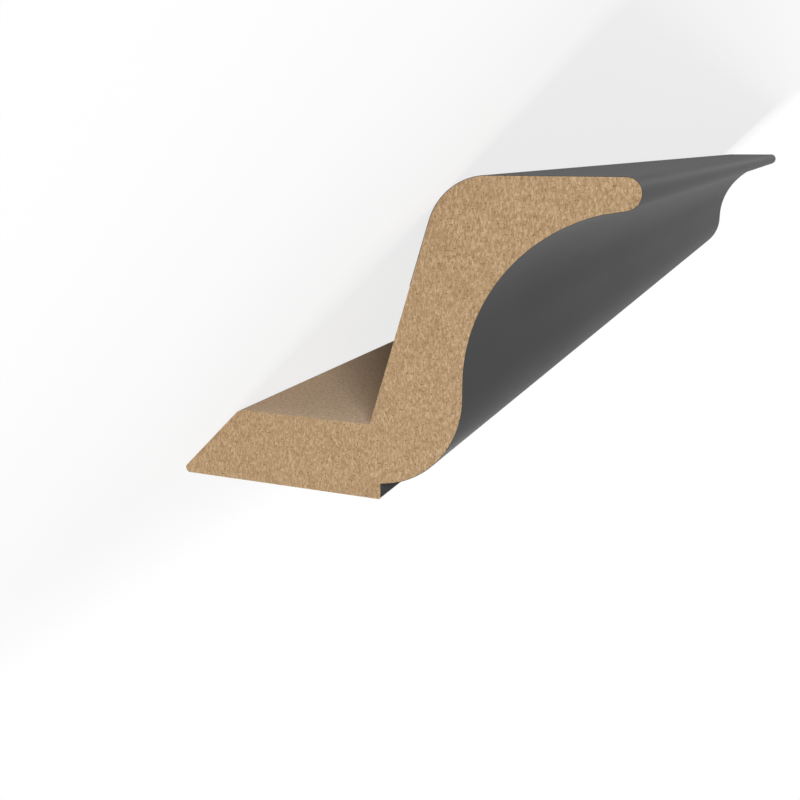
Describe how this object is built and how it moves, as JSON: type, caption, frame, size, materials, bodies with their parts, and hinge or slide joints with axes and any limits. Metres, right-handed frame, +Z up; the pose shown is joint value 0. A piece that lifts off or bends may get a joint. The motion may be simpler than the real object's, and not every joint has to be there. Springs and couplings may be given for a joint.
{
  "type": "cornice moulding",
  "caption": "Length of cornice moulding: milled fibreboard with a square foot, a rounded bulge, a hollow cove and a thin nose, wrapped in dark grey decor foil, cut square at both ends.",
  "frame": {"origin": "middle of the moulding's length and width, on the floor that it lies on", "axes": "+Y along the moulding, away from the end that is seen in the picture; +Z up from the floor; the moulding lies on its back, so the foot is on the +X side and the nose on the -X side"},
  "size_m": [0.1038, 0.487, 0.0334],
  "materials": {
    "fibreboard": "raw milled and sawn medium density fibreboard, matte, unsealed",
    "foil": "dark grey decor foil, smooth, satin matte"
  },
  "bodies": {
    "root": {"mdf_core": "fibreboard", "decor_foil": "foil"}
  },
  "joints": []
}
